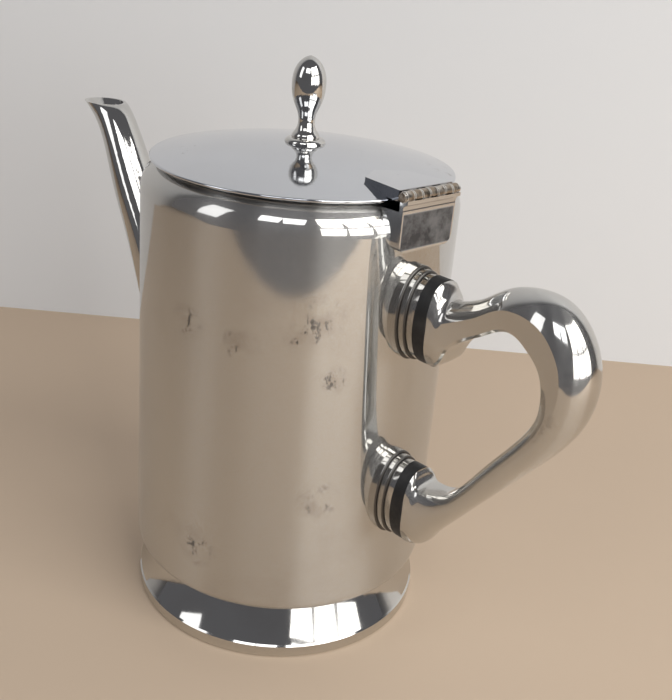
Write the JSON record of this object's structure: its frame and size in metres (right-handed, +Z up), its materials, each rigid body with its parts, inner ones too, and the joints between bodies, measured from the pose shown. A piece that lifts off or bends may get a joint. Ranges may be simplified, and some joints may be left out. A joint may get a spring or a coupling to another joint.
{
  "type": "coffee pot",
  "caption": "Free-standing metal coffee pot: straight round body on a flared foot, hinged flat lid with a turned knob, slender spout and insulated loop handle.",
  "frame": {"origin": "centre of the foot's resting plane, on the body's axis", "axes": "+Z up along the body's axis; +X towards the handle, so that the spout points to -X; the pot is symmetric about Y = 0"},
  "size_m": [0.2315, 0.0992, 0.1808],
  "materials": {
    "polished_silver_plate": "mirror polish with fine scratches and small dark tarnish specks",
    "worn_silver_plate": "polished, softened by fine hairline scratches",
    "worn_hinge_metal": "worn plate with dark dirt between the knuckles",
    "black_insulator": "black heat-proof fibre, dull",
    "plain_brass": "plain turned brass"
  },
  "bodies": {
    "pot": {"base_disc": "polished_silver_plate", "body_shell": "polished_silver_plate", "fixed_knuckles": "worn_hinge_metal", "foot_rim": "polished_silver_plate", "foot_skirt": "polished_silver_plate", "handle": "polished_silver_plate", "hinge_bracket": "polished_silver_plate", "hinge_pin": "worn_hinge_metal", "lower_cross_pins": "polished_silver_plate", "lower_insulator": "black_insulator", "lower_socket_base": "polished_silver_plate", "lower_socket_collar": "polished_silver_plate", "mouth_ring": "polished_silver_plate", "spout": "polished_silver_plate", "upper_cross_pins": "polished_silver_plate", "upper_insulator": "black_insulator", "upper_socket_base": "polished_silver_plate", "upper_socket_collar": "polished_silver_plate"},
    "lid": {"lid_disc": "worn_silver_plate", "lid_bezel": "worn_silver_plate", "lid_leaf": "worn_hinge_metal", "lid_knuckles": "worn_hinge_metal", "finial": "polished_silver_plate", "finial_flange": "polished_silver_plate", "finial_stud": "plain_brass", "finial_nut": "plain_brass"}
  },
  "joints": [
    {"name": "lid_hinge", "type": "hinge", "parent": "pot", "child": "lid", "pos_m": [0.0508, 0, 0.15202], "axis": [0, 1, 0], "range_deg": [0, 105]}
  ]
}
